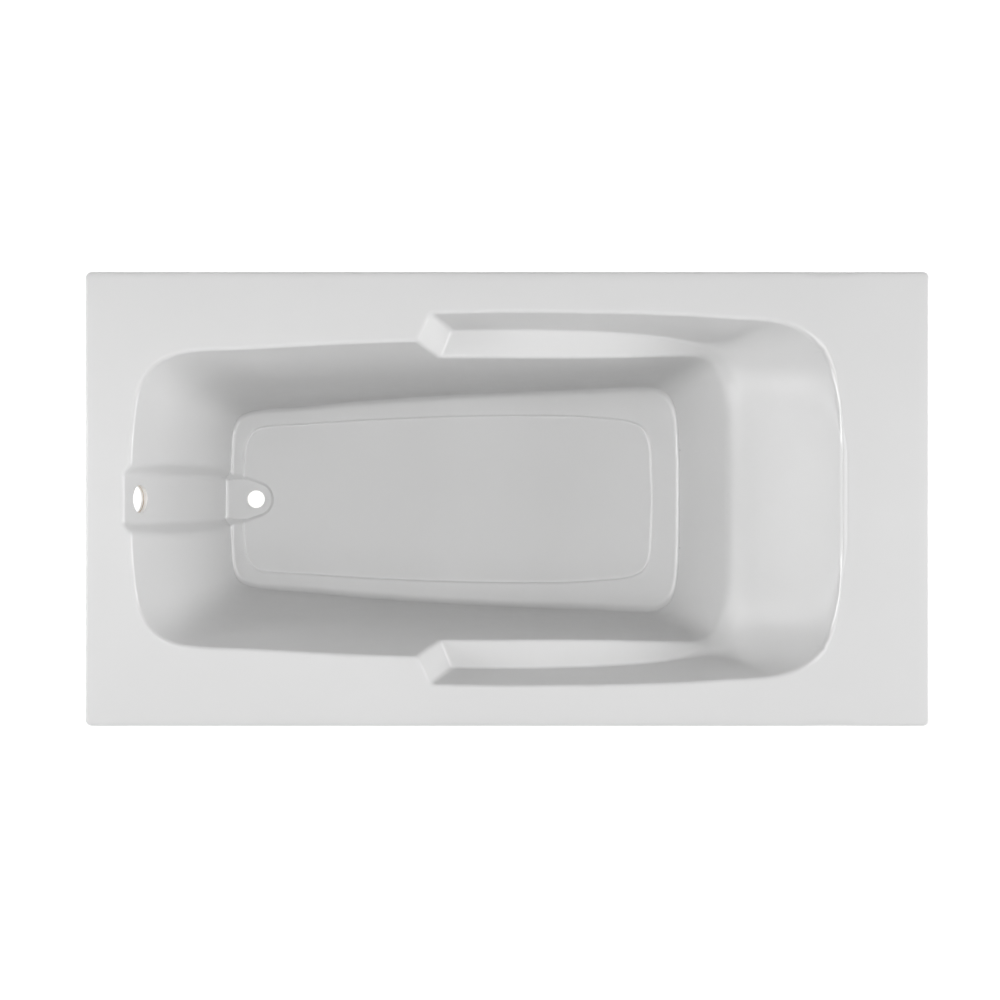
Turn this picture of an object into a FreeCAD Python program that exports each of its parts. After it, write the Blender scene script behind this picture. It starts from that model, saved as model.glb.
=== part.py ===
import FreeCAD, Part
import os
import math

# Drop-in soaking bathtub: moulded acrylic basin with a flat rectangular rim,
# glass-fibre backing, floor board, rim battens, two steel cross rails and four
# levelling feet.  Millimetres, +Z up, Z = 0 under the foot soles,
# X along the length (drain end at -X, head end at +X), Y across.

V = FreeCAD.Vector

# ---- overall sizes -----------------------------------------------------
LENGTH = 1524.0          # rim, outside
WIDTH = 820.0            # rim, outside
Z_RIM = 508.0            # top of the rim
LIP_DEPTH = 38.0         # turned-down edge of the rim
T_ACRYLIC = 4.0
T_GLASS = 4.0
RIM_CORNER_R = 12.0
RIM_EDGE_R = 6.0

# ---- depths below the rim ----------------------------------------------
H_FLOOR = 417.0          # floor of the basin
H_PANEL = 419.0          # shallow inner floor panel
H_SUMP = 423.0           # sump round the drain hole
H_BACKING = 429.0        # flat underside of the glass-fibre floor
WALL_POWER = 1.5         # wall flares a little towards the rim
FLOOR_FILLET = 20.0

# ---- holes ---------------------------------------------------------------
DRAIN_X = -546.0
DRAIN_R = 19.0
OVERFLOW_H = 58.0
OVERFLOW_R = 26.0

# ---- overflow strip --------------------------------------------------------
STRIP_X0 = -691.0        # back of the strip at rim level
STRIP_RISE = 0.1885      # X per mm of depth
STRIP_HALF = 46.0
SUMP_R = 37.0

# ---- floor board, rails, battens -----------------------------------------
BOARD_T = 16.0
BOARD_X0, BOARD_X1 = -470.0, 335.0
BOARD_HALF = 165.0
RAIL_X = (-400.0, 260.0)
RAIL_HALF = 318.0
RAIL_W, RAIL_H, RAIL_T = 40.0, 25.0, 2.5
BATTEN_W, BATTEN_T = 44.0, 18.0
SCREW_Y = (-130.0, -60.0, 60.0, 130.0)

# ---- levelling feet --------------------------------------------------------
FOOT_Y = 290.0
STUD_R = 6.0
STUD_TOP = 118.0
THREAD_CLEAR = 0.05
NUT_AF, NUT_H = 19.0, 10.0
HEX_AF, HEX_Z0, HEX_Z1 = 17.0, 20.0, 28.0
PAD_R, PAD_HUB_R = 30.0, 13.0
SOLE_T = 3.0
SOLE_R = 28.0
SOCKET_Z = 9.0
PAD_TOP = 20.0

# ---- plan curves, half outline from drain end (Y = 0) to head end (Y = 0) ---
# rim line of the lower basin and the matching line at the floor
BASIN_RIM = [(-679.0, 0.0), (-678.4, 55.0), (-676.3, 105.0), (-672.0, 150.0),
             (-665.5, 190.0), (-655.0, 216.0), (-637.0, 239.0), (-610.0, 256.0),
             (-570.0, 265.5), (-500.0, 269.3), (-420.0, 273.2), (-330.0, 278.0),
             (-240.0, 281.8), (-160.0, 284.0), (-80.0, 284.0), (0.0, 282.6),
             (90.0, 281.3), (190.0, 282.6), (290.0, 287.5), (370.0, 294.0),
             (421.0, 297.0), (452.0, 289.5), (471.5, 262.0), (487.0, 216.0),
             (489.0, 150.0), (489.8, 75.0), (490.0, 0.0)]
BASIN_FLOOR = [(-600.0, 0.0), (-599.7, 45.0), (-598.8, 88.0), (-596.5, 126.0),
               (-591.0, 158.0), (-580.0, 177.0), (-562.0, 188.0), (-536.0, 194.0),
               (-500.0, 197.5), (-449.0, 201.3), (-375.0, 208.4), (-290.0, 215.7),
               (-205.0, 221.9), (-130.0, 226.6), (-60.0, 230.2), (10.0, 233.5),
               (85.0, 236.9), (165.0, 239.9), (245.0, 243.2), (295.0, 245.0),
               (325.0, 242.0), (349.0, 229.0), (364.0, 204.0), (371.0, 168.0),
               (374.5, 115.0), (375.6, 58.0), (375.8, 0.0)]
# rim line of the wide upper dish, from the armrest's front corner to the head end
DISH_RIM = [(-138.5, 334.0), (-85.0, 334.9), (22.0, 336.0), (131.0, 335.0),
            (239.0, 333.3), (293.0, 331.5), (347.0, 329.0), (383.0, 326.6),
            (419.0, 324.3), (455.0, 322.0), (483.0, 318.5), (509.0, 312.0),
            (531.0, 302.0), (551.0, 288.0), (568.0, 270.0), (581.0, 248.0),
            (590.0, 222.0), (596.5, 190.0), (601.0, 150.0), (604.0, 100.0),
            (606.2, 50.0), (607.0, 0.0)]
DISH_DRAFT = math.tan(math.radians(9.0))
DISH_FRONT = 0.3526       # forward slope of the armrest's front face
# side profile of the armrest ledge running down and up into the backrest: X, depth
SCOOP = [(-330.0, 88.0), (-110.0, 95.0), (80.0, 100.0), (200.0, 106.5),
         (280.0, 115.0), (340.0, 126.5), (375.0, 135.5), (400.0, 142.0),
         (415.0, 145.0), (430.0, 145.5), (445.0, 141.5), (465.0, 127.5),
         (485.0, 109.0), (508.0, 86.8), (530.0, 66.2), (560.0, 39.3),
         (590.0, 13.8), (607.0, 0.0), (640.0, -26.0)]
# corner slope of the backrest: turn about Z, plan distance at the rim, depth per run
CORNER_TURN, CORNER_REACH, CORNER_SLOPE = 35.0, 621.5, 1.2
# shallow inner panel of the floor
PANEL = [(-573.0, 0.0), (-572.6, 45.0), (-570.5, 90.0), (-564.0, 128.0),
         (-545.0, 152.0), (-515.0, 159.5), (-449.0, 163.0), (-362.0, 169.0),
         (-275.0, 173.8), (-198.0, 177.5), (-122.0, 180.0), (-35.0, 181.8),
         (30.0, 182.2), (95.0, 182.0), (161.0, 180.3), (226.0, 175.5),
         (275.0, 168.0), (300.0, 153.0), (311.0, 128.0), (315.5, 80.0),
         (317.5, 35.0), (318.0, 0.0)]


def outward(points, amount):
    """Move a half outline (drain end to head end, +Y side) outwards."""
    n = len(points)
    moved = []
    for i in range(n):
        if i == 0 and points[0][1] > 1.0:
            ax, ay = points[0]
            bx, by = points[1]
        elif i == 0:
            ax, ay = points[1][0], -points[1][1]
            bx, by = points[1]
        elif i == n - 1:
            ax, ay = points[n - 2]
            bx, by = points[n - 2][0], -points[n - 2][1]
        else:
            ax, ay = points[i - 1]
            bx, by = points[i + 1]
        tx, ty = bx - ax, by - ay
        ln = math.hypot(tx, ty)
        moved.append((points[i][0] - ty / ln * amount, points[i][1] + tx / ln * amount))
    return moved


def closed_wire(half, z):
    pts = [V(x, y, z) for x, y in half]
    pts += [V(x, -y, z) for x, y in reversed(half[1:-1])]
    curve = Part.BSplineCurve()
    curve.interpolate(Points=pts, PeriodicFlag=True)
    return Part.Wire([curve.toShape()])


def loft(wires, ruled=False):
    return Part.makeLoft(wires, True, ruled)


def basin_plug(off, bottom, z_top, fillet):
    """Air of the lower basin, grown by off, floor at depth bottom."""
    wires = []
    for t in (0.0, 0.12, 0.28, 0.48, 0.70, 1.0):
        g = (1.0 - t) ** WALL_POWER
        sec = [(f[0] + (r[0] - f[0]) * g, f[1] + (r[1] - f[1]) * g)
               for r, f in zip(BASIN_RIM, BASIN_FLOOR)]
        depth = bottom * t
        wires.append(closed_wire(outward(sec, off), Z_RIM - depth))
    solid = loft(wires)
    low = [e for e in solid.Edges
           if abs(e.BoundBox.ZMax - (Z_RIM - bottom)) < 0.5 and e.BoundBox.ZLength < 0.5]
    solid = solid.makeFillet(fillet, low)
    if z_top > Z_RIM:
        cap = Part.Face(closed_wire(outward(BASIN_RIM, off), Z_RIM))
        solid = solid.fuse(cap.extrude(V(0, 0, z_top - Z_RIM)))
    return solid


def dish_wire(off, depth):
    k = depth
    inner = outward(DISH_RIM, off - DISH_DRAFT * k)
    corner_y = inner[0][1]
    corner_x = DISH_RIM[0][0] + DISH_FRONT * k - off
    slope = 0.5 - 0.1 * k / 170.0
    in_y = 211.0
    in_x = corner_x - (corner_y - in_y) * slope
    z = Z_RIM - depth
    half = [(corner_x, corner_y)] + inner[1:]
    pts = [V(x, y, z) for x, y in half]
    pts += [V(x, -y, z) for x, y in reversed(half[:-1])]
    curve = Part.BSplineCurve()
    curve.interpolate(Points=pts)
    a, b = V(in_x, -in_y, z), V(in_x, in_y, z)
    return Part.Wire([Part.makeLine(pts[-1], a), Part.makeLine(a, b),
                      Part.makeLine(b, pts[0]), curve.toShape()])


def dish_plug(off, z_top):
    """Air of the upper dish above the armrest ledges and the backrest."""
    body = loft([dish_wire(off, -(z_top - Z_RIM)), dish_wire(off, 190.0)], True)
    pts = []
    n = len(SCOOP)
    for i in range(n):
        x0, h0 = SCOOP[max(i - 1, 0)]
        x1, h1 = SCOOP[min(i + 1, n - 1)]
        dx, dh = x1 - x0, h1 - h0
        ln = math.hypot(dx, dh)
        x = SCOOP[i][0] - dh / ln * off
        h = SCOOP[i][1] + dx / ln * off
        pts.append(V(x, -500.0, Z_RIM - h))
    curve = Part.BSplineCurve()
    curve.interpolate(Points=pts)
    up0 = V(pts[0].x, -500.0, Z_RIM + 80.0)
    up1 = V(pts[-1].x, -500.0, Z_RIM + 80.0)
    wire = Part.Wire([curve.toShape(), Part.makeLine(pts[-1], up1),
                      Part.makeLine(up1, up0), Part.makeLine(up0, pts[0])])
    above = Part.Face(wire).extrude(V(0, 1000.0, 0))
    # sloped corners between the backrest and the side walls
    reach = CORNER_REACH + off * math.hypot(1.0, CORNER_SLOPE) / CORNER_SLOPE
    corners = []
    for turn in (CORNER_TURN, -CORNER_TURN):
        p = [V(reach - 250.0, -600.0, Z_RIM - 250.0 * CORNER_SLOPE),
             V(reach + 100.0, -600.0, Z_RIM + 100.0 * CORNER_SLOPE),
             V(reach + 100.0, -600.0, Z_RIM - 250.0 * CORNER_SLOPE)]
        wedge = Part.Face(Part.makePolygon(p + [p[0]])).extrude(V(0, 1200.0, 0))
        wedge.rotate(V(0, 0, 0), V(0, 0, 1), turn)
        corners.append(wedge)
    return body.common(above).cut(corners)


def strip_plug(off, z_top):
    """Air of the recessed strip in the drain-end wall."""
    wires = []
    bottom = H_FLOOR + off
    for depth in (-(z_top - Z_RIM), bottom):
        xb = STRIP_X0 + STRIP_RISE * depth - off * 1.0176
        hw = STRIP_HALF + 0.414 * off
        z = Z_RIM - depth
        reach = 17.0
        p = [V(xb, -hw, z), V(xb, hw, z), V(xb + reach, hw + reach, z),
             V(xb + reach + 11.0, hw + reach, z), V(xb + reach + 11.0, -hw - reach, z),
             V(xb + reach, -hw - reach, z)]
        wires.append(Part.makePolygon(p + [p[0]]))
    return loft(wires, True)


def sump_plug(off):
    """Air of the sump that runs from the strip to the drain hole."""
    r = SUMP_R + off
    hw = STRIP_HALF + off
    x0 = STRIP_X0 + STRIP_RISE * H_FLOOR - off + 1.0
    x1 = -566.0
    z = Z_RIM - H_SUMP - off
    a = math.radians(62.0)
    pa = V(DRAIN_X + r * math.cos(a), r * math.sin(a), z)
    pb = V(DRAIN_X + r, 0, z)
    pc = V(pa.x, -pa.y, z)
    w = Part.Wire([Part.makeLine(V(x0, -hw, z), V(x0, hw, z)),
                   Part.makeLine(V(x0, hw, z), V(x1, hw, z)),
                   Part.makeLine(V(x1, hw, z), pa),
                   Part.Arc(pa, pb, pc).toShape(),
                   Part.makeLine(pc, V(x1, -hw, z)),
                   Part.makeLine(V(x1, -hw, z), V(x0, -hw, z))])
    return Part.Face(w).extrude(V(0, 0, 14.0 + off))


def panel_plug(off):
    z = Z_RIM - H_PANEL - off
    return Part.Face(closed_wire(outward(PANEL, off), z)).extrude(V(0, 0, 12.0 + off))


def air(off, bottom, z_top, fillet):
    return basin_plug(off, bottom, z_top, fillet).fuse(
        [dish_plug(off, z_top), strip_plug(off, z_top), sump_plug(off), panel_plug(off)])


def rounded_box(x, y, z0, z1, r):
    b = Part.makeBox(2 * x, 2 * y, z1 - z0, V(-x, -y, z0))
    up = [e for e in b.Edges if e.BoundBox.ZLength > 0.5 * (z1 - z0)]
    return b.makeFillet(r, up)


def hexagon(af, z0, z1, x, y):
    r = af / 2.0 / math.cos(math.pi / 6)
    p = [V(x + r * math.cos(math.pi / 6 + i * math.pi / 3),
           y + r * math.sin(math.pi / 6 + i * math.pi / 3), z0) for i in range(6)]
    return Part.Face(Part.makePolygon(p + [p[0]])).extrude(V(0, 0, z1 - z0))


def one(shape):
    """The single solid of a boolean result."""
    s = shape.removeSplitter()
    big = sorted(s.Solids, key=lambda q: q.Volume)[-1]
    return big


# ---- holes ---------------------------------------------------------------
strip_n = V(1.0, 0.0, STRIP_RISE)
strip_n.normalize()
over_c = V(STRIP_X0 + STRIP_RISE * OVERFLOW_H, 0.0, Z_RIM - OVERFLOW_H)
drain_hole = Part.makeCylinder(DRAIN_R, 60.0, V(DRAIN_X, 0, Z_RIM - H_SUMP - 40.0))
overflow_hole = Part.makeCylinder(OVERFLOW_R, 40.0, over_c - strip_n * 25.0, strip_n)

# ---- acrylic shell --------------------------------------------------------
air0 = air(0.0, H_FLOOR, Z_RIM + 6.0, FLOOR_FILLET)
air1 = air(T_ACRYLIC, H_FLOOR + T_ACRYLIC, Z_RIM, FLOOR_FILLET + T_ACRYLIC)
rim = rounded_box(LENGTH / 2, WIDTH / 2, Z_RIM - LIP_DEPTH, Z_RIM, RIM_CORNER_R)
top_loop = [e for e in rim.Edges if e.BoundBox.ZMin > Z_RIM - 0.1]
rim = rim.makeFillet(RIM_EDGE_R, top_loop)
under = rounded_box(LENGTH / 2 - T_ACRYLIC, WIDTH / 2 - T_ACRYLIC,
                    Z_RIM - LIP_DEPTH - 1.0, Z_RIM - T_ACRYLIC, RIM_CORNER_R - T_ACRYLIC)
rim = rim.cut(under)
acrylic = one(rim.fuse(air1).cut(air0).cut(drain_hole).cut(overflow_hole))

# ---- glass-fibre backing -----------------------------------------------------
air2 = air(T_ACRYLIC + T_GLASS, H_BACKING, Z_RIM - T_ACRYLIC, FLOOR_FILLET + T_ACRYLIC + T_GLASS)
slab = rounded_box(LENGTH / 2 - T_ACRYLIC, WIDTH / 2 - T_ACRYLIC,
                   Z_RIM - T_ACRYLIC - T_GLASS, Z_RIM - T_ACRYLIC, RIM_CORNER_R - T_ACRYLIC)
keep = Part.makeBox(2 * LENGTH, 2 * WIDTH, 900.0, V(-LENGTH, -WIDTH, Z_RIM - T_ACRYLIC - 900.0))
air1_up = air1.common(keep)
backing = one(slab.fuse(air2.common(keep)).cut(air1_up).cut(drain_hole).cut(overflow_hole))

# ---- pad behind the overflow hole ----------------------------------------------
t2 = T_ACRYLIC + T_GLASS
pad_c = over_c - strip_n * (t2 + T_GLASS)
side = V(0, 1, 0)
up = strip_n.cross(side)
if up.z < 0:
    up = up * -1.0
corner = pad_c - side * 42.0 - up * 38.0
p = [corner, corner + side * 84.0, corner + side * 84.0 + up * 74.0, corner + up * 74.0]
pad = Part.Face(Part.makePolygon(p + [p[0]])).extrude(strip_n * T_GLASS)
overflow_pad = one(pad.cut(overflow_hole))

# ---- floor board ------------------------------------------------------------------
zb1 = Z_RIM - H_BACKING
zb0 = zb1 - BOARD_T
bx = (BOARD_X0 + BOARD_X1) / 2.0
board = rounded_box((BOARD_X1 - BOARD_X0) / 2.0, BOARD_HALF, zb0, zb1, 22.0)
board.translate(V(bx, 0, 0))
for x in RAIL_X:
    for y in SCREW_Y:
        board = board.cut(Part.makeCylinder(2.2, 13.0, V(x, y, zb0)))
board = one(board)

# ---- rim battens --------------------------------------------------------------------
zr1 = Z_RIM - T_ACRYLIC - T_GLASS
zr0 = zr1 - BATTEN_T
batten_rear = Part.makeBox(1496.0, BATTEN_W, BATTEN_T, V(-748.0, 354.0, zr0))
batten_front = Part.makeBox(1496.0, BATTEN_W, BATTEN_T, V(-748.0, -354.0 - BATTEN_W, zr0))
batten_drain = Part.makeBox(BATTEN_W, 690.0, BATTEN_T, V(-752.0, -345.0, zr0))
batten_head = Part.makeBox(BATTEN_W, 690.0, BATTEN_T, V(690.0, -345.0, zr0))


# ---- cross rails (channels open downwards) ---------------------------------------------
def rail(x):
    z1 = zb0
    z0 = z1 - RAIL_H
    outer = Part.makeBox(RAIL_W, 2 * RAIL_HALF, RAIL_H, V(x - RAIL_W / 2, -RAIL_HALF, z0))
    top = [e for e in outer.Edges if e.BoundBox.YLength > RAIL_HALF and e.BoundBox.ZMin > z1 - 0.1]
    outer = outer.makeFillet(4.0, top)
    inner = Part.makeBox(RAIL_W - 2 * RAIL_T, 2 * RAIL_HALF + 2, RAIL_H - RAIL_T,
                         V(x - RAIL_W / 2 + RAIL_T, -RAIL_HALF - 1, z0))
    top = [e for e in inner.Edges
           if e.BoundBox.YLength > RAIL_HALF and e.BoundBox.ZMin > z1 - RAIL_T - 0.1]
    inner = inner.makeFillet(1.5, top)
    s = outer.cut(inner)
    for y in (-FOOT_Y, FOOT_Y):
        s = s.cut(Part.makeCylinder(STUD_R + 0.6, RAIL_H, V(x, y, z1 - RAIL_T - 2)))
    for y in SCREW_Y:
        s = s.cut(Part.makeCylinder(2.5, RAIL_H, V(x, y, z1 - RAIL_T - 2)))
    return one(s)


rail_a, rail_b = rail(RAIL_X[0]), rail(RAIL_X[1])

# ---- fasteners ----------------------------------------------------------------------------
web_z = zb0 - RAIL_T
screws, weld_nuts, lock_nuts = [], [], []
for x in RAIL_X:
    for y in SCREW_Y:
        head = Part.makeCylinder(4.6, 3.0, V(x, y, web_z - 3.0))
        low = [e for e in head.Edges if e.BoundBox.ZMax < web_z - 2.9]
        head = head.makeFillet(2.0, low)
        shank = Part.makeCylinder(2.15, RAIL_T + 10.0, V(x, y, web_z))
        tip = Part.makeCone(2.15, 0.4, 2.5, V(x, y, web_z + RAIL_T + 10.0))
        screws.append(one(head.fuse(shank).fuse(tip)))
    for y in (-FOOT_Y, FOOT_Y):
        bore = Part.makeCylinder(STUD_R + THREAD_CLEAR, 60.0, V(x, y, web_z - 40.0))
        weld_nuts.append(one(hexagon(NUT_AF, web_z - NUT_H, web_z, x, y).cut(bore)))
        lock_nuts.append(one(hexagon(NUT_AF, web_z - 2 * NUT_H, web_z - NUT_H, x, y).cut(bore)))


# ---- levelling feet ------------------------------------------------------------------------
def foot(x, y):
    stud = Part.makeCylinder(STUD_R, STUD_TOP - SOCKET_Z, V(x, y, SOCKET_Z))
    stud = stud.makeChamfer(1.0, [e for e in stud.Edges if e.BoundBox.ZMin > STUD_TOP - 0.1])
    stud = one(stud.fuse(hexagon(HEX_AF, HEX_Z0, HEX_Z1, x, y)))
    prof = [V(x, y, SOLE_T), V(x + PAD_R, y, SOLE_T), V(x + PAD_R, y, SOLE_T + 5.0),
            V(x + PAD_R - 2.0, y, SOLE_T + 7.0), V(x + PAD_HUB_R + 2.0, y, SOLE_T + 10.0),
            V(x + PAD_HUB_R, y, SOLE_T + 12.0), V(x + PAD_HUB_R, y, PAD_TOP - 1.0),
            V(x + PAD_HUB_R - 1.0, y, PAD_TOP), V(x, y, PAD_TOP)]
    f = Part.Face(Part.makePolygon(prof + [prof[0]]))
    body = f.revolve(V(x, y, 0), V(0, 0, 1), 360.0)
    body = one(body.cut(Part.makeCylinder(STUD_R + THREAD_CLEAR, 30.0, V(x, y, SOCKET_Z))))
    sole = Part.makeCylinder(SOLE_R, SOLE_T, V(x, y, 0))
    sole = sole.makeFillet(0.8, [e for e in sole.Edges if e.BoundBox.ZMax < 0.1])
    return stud, body, sole


os.makedirs("parts", exist_ok=True)


def save(shape, name):
    if not shape.isValid():
        print("not valid:", name)
    shape.exportStep("parts/" + name + ".step")
    print(name, len(shape.Solids), round(shape.Volume / 1000.0, 1), "cm3")


save(acrylic, "acrylic_shell")
save(backing, "fibreglass_backing")
save(overflow_pad, "overflow_backing_pad")
save(board, "floor_board")
save(batten_front, "rim_batten_front")
save(batten_rear, "rim_batten_rear")
save(batten_drain, "rim_batten_drain_end")
save(batten_head, "rim_batten_head_end")
save(rail_a, "rail_drain_end")
save(rail_b, "rail_head_end")
save(Part.makeCompound(screws), "rail_screws")
save(Part.makeCompound(weld_nuts), "weld_nuts")
save(Part.makeCompound(lock_nuts), "lock_nuts")
for end, x in (("drain", RAIL_X[0]), ("head", RAIL_X[1])):
    for row, y in (("front", -FOOT_Y), ("rear", FOOT_Y)):
        s, b, o = foot(x, y)
        save(s, "foot_stud_" + end + "_" + row)
        save(b, "foot_pad_" + end + "_" + row)
        save(o, "foot_sole_" + end + "_" + row)
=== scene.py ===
import bpy
import bmesh
import math
import numpy as np
from mathutils import Vector, Matrix


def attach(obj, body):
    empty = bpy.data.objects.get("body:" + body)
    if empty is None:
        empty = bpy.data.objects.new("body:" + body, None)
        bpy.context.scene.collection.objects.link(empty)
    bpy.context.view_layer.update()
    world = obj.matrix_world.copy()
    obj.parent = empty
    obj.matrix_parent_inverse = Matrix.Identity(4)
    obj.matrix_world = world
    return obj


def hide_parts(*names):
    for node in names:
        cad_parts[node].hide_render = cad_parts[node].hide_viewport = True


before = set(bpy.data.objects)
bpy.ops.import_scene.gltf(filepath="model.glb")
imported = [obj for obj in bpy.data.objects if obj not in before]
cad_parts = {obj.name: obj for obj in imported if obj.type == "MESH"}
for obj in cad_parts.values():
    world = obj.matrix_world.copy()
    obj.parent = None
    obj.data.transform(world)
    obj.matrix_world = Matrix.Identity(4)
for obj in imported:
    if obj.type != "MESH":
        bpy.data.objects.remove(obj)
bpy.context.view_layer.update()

MM = 0.001
Z_RIM = 508.0
HALF_L, HALF_W = 762.0, 410.0
LIP = 38.0
RIM_R = 12.0
ROLL = 6.0
T_AC = 4.0
T_GF = 4.0
H_FLOOR, H_PANEL, H_SUMP, H_BACKING = 417.0, 419.0, 423.0, 429.0
DRAIN_X, DRAIN_R = -546.0, 19.0
STRIP_X0, STRIP_RISE, STRIP_HALF = -691.0, 0.1885, 46.0
SUMP_R = 37.0
OVER_H, OVER_R = 58.0, 26.0

# ------------------------------------------------------------------ plan curves
BASIN_RIM = [(-679.0, 0.0), (-678.4, 55.0), (-676.3, 105.0), (-672.0, 150.0),
             (-665.5, 190.0), (-655.0, 216.0), (-637.0, 239.0), (-610.0, 256.0),
             (-570.0, 265.5), (-500.0, 269.3), (-420.0, 273.2), (-330.0, 278.0),
             (-240.0, 281.8), (-160.0, 284.0), (-80.0, 284.0), (0.0, 282.6),
             (90.0, 281.3), (190.0, 282.6), (290.0, 287.5), (370.0, 294.0),
             (421.0, 297.0), (452.0, 289.5), (471.5, 262.0), (487.0, 216.0),
             (489.0, 150.0), (489.8, 75.0), (490.0, 0.0)]
BASIN_FLOOR = [(-600.0, 0.0), (-599.7, 45.0), (-598.8, 88.0), (-596.5, 126.0),
               (-591.0, 158.0), (-580.0, 177.0), (-562.0, 188.0), (-536.0, 194.0),
               (-500.0, 197.5), (-449.0, 201.3), (-375.0, 208.4), (-290.0, 215.7),
               (-205.0, 221.9), (-130.0, 226.6), (-60.0, 230.2), (10.0, 233.5),
               (85.0, 236.9), (165.0, 239.9), (245.0, 243.2), (295.0, 245.0),
               (325.0, 242.0), (349.0, 229.0), (364.0, 204.0), (371.0, 168.0),
               (374.5, 115.0), (375.6, 58.0), (375.8, 0.0)]
DISH_RIM = [(-440.0, 0.0), (-440.0, 160.0), (-438.0, 290.0), (-400.0, 333.0),
            (-300.0, 333.4), (-200.0, 333.7), (-138.5, 334.0), (-85.0, 334.9),
            (22.0, 336.0), (131.0, 335.0), (239.0, 333.3), (293.0, 331.5),
            (347.0, 329.0), (383.0, 326.6), (419.0, 324.3), (455.0, 322.0),
            (483.0, 318.5), (509.0, 312.0), (531.0, 302.0), (551.0, 288.0),
            (568.0, 270.0), (581.0, 248.0), (590.0, 222.0), (596.5, 190.0),
            (601.0, 150.0), (604.0, 100.0), (606.2, 50.0), (607.0, 0.0)]
SCOOP = np.array([(-460.0, 86.0), (-330.0, 88.0), (-110.0, 95.0), (80.0, 100.0),
                  (200.0, 106.5), (280.0, 115.0), (340.0, 126.5), (375.0, 135.5),
                  (400.0, 142.0), (415.0, 145.0), (430.0, 145.5), (445.0, 141.5),
                  (465.0, 127.5), (485.0, 109.0), (508.0, 86.8), (530.0, 66.2),
                  (560.0, 39.3), (590.0, 13.8), (607.0, 0.0), (640.0, -26.0),
                  (700.0, -72.0), (800.0, -145.0)])
PANEL = [(-573.0, 0.0), (-572.6, 45.0), (-570.5, 90.0), (-564.0, 128.0),
         (-545.0, 152.0), (-515.0, 159.5), (-449.0, 163.0), (-362.0, 169.0),
         (-275.0, 173.8), (-198.0, 177.5), (-122.0, 180.0), (-35.0, 181.8),
         (30.0, 182.2), (95.0, 182.0), (161.0, 180.3), (226.0, 175.5),
         (275.0, 168.0), (300.0, 153.0), (311.0, 128.0), (315.5, 80.0),
         (317.5, 35.0), (318.0, 0.0)]


def smooth_half(half, sub=10):
    """Dense half outline on a closed, mirrored cubic spline through the points."""
    pts = np.array(list(half) + [(x, -y) for x, y in reversed(half[1:-1])])
    n = len(pts)
    nxt = np.roll(pts, -1, 0)
    h = np.hypot(*(nxt - pts).T)
    A = np.zeros((n, n))
    B = np.zeros((n, 2))
    for i in range(n):
        p, q = (i - 1) % n, (i + 1) % n
        A[i, p] += h[p]
        A[i, i] += 2 * (h[p] + h[i])
        A[i, q] += h[i]
        B[i] = 6 * ((pts[q] - pts[i]) / h[i] - (pts[i] - pts[p]) / h[p])
    M = np.linalg.solve(A, B)
    out = []
    for i in range(len(half) - 1):
        q = (i + 1) % n
        for k in range(sub):
            s = h[i] * k / sub
            a = h[i] - s
            out.append((M[i] * a ** 3 + M[q] * s ** 3) / (6 * h[i])
                       + (pts[i] / h[i] - M[i] * h[i] / 6) * a
                       + (pts[q] / h[i] - M[q] * h[i] / 6) * s)
    out.append(pts[len(half) - 1])
    return np.array(out)


def spline_1d(xy):
    """Natural cubic spline through the points, as a function and its slope."""
    x, y = xy[:, 0], xy[:, 1]
    n = len(x)
    h = np.diff(x)
    A = np.eye(n)
    b = np.zeros(n)
    for i in range(1, n - 1):
        A[i, i - 1], A[i, i], A[i, i + 1] = h[i - 1], 2 * (h[i - 1] + h[i]), h[i]
        b[i] = 6 * ((y[i + 1] - y[i]) / h[i] - (y[i] - y[i - 1]) / h[i - 1])
    m = np.linalg.solve(A, b)

    def f(q):
        q = np.clip(q, x[0], x[-1])
        i = np.clip(np.searchsorted(x, q) - 1, 0, n - 2)
        a, s = x[i + 1] - q, q - x[i]
        return ((m[i] * a ** 3 + m[i + 1] * s ** 3) / (6 * h[i])
                + (y[i] / h[i] - m[i] * h[i] / 6) * a
                + (y[i + 1] / h[i] - m[i + 1] * h[i] / 6) * s)
    return f


def inside_distance(x, y, curve):
    """Distance inside (+) or outside (-) a half outline, for y >= 0."""
    shape = x.shape
    x, y = x.ravel(), y.ravel()
    ax, ay = curve[:-1, 0], curve[:-1, 1]
    ex, ey = np.diff(curve[:, 0]), np.diff(curve[:, 1])
    e2 = np.maximum(ex * ex + ey * ey, 1e-12)
    out = np.empty(len(x))
    for i in range(0, len(x), 6000):
        px, py = x[i:i + 6000, None], y[i:i + 6000, None]
        t = np.clip(((px - ax) * ex + (py - ay) * ey) / e2, 0, 1)
        d = np.sqrt(np.min((ax + t * ex - px) ** 2 + (ay + t * ey - py) ** 2, 1))
        cross = ((ax <= px) != (ax + ex <= px))
        yc = ay + (px - ax) * ey / np.where(ex == 0, 1e-12, ex)
        odd = np.sum(cross & (yc > py), 1) % 2 == 1
        out[i:i + 6000] = np.where(odd, d, -d)
    return out.reshape(shape)


def smin(a, b, k):
    return np.minimum(a, b) - np.maximum(k - np.abs(a - b), 0) ** 2 / (4 * k)


def smax(a, b, k):
    return -smin(-a, -b, k)


def step(d, w):
    s = np.clip(d / w + 0.5, 0, 1)
    return 0.6 * s + 0.4 * s * s * (3 - 2 * s)


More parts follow.
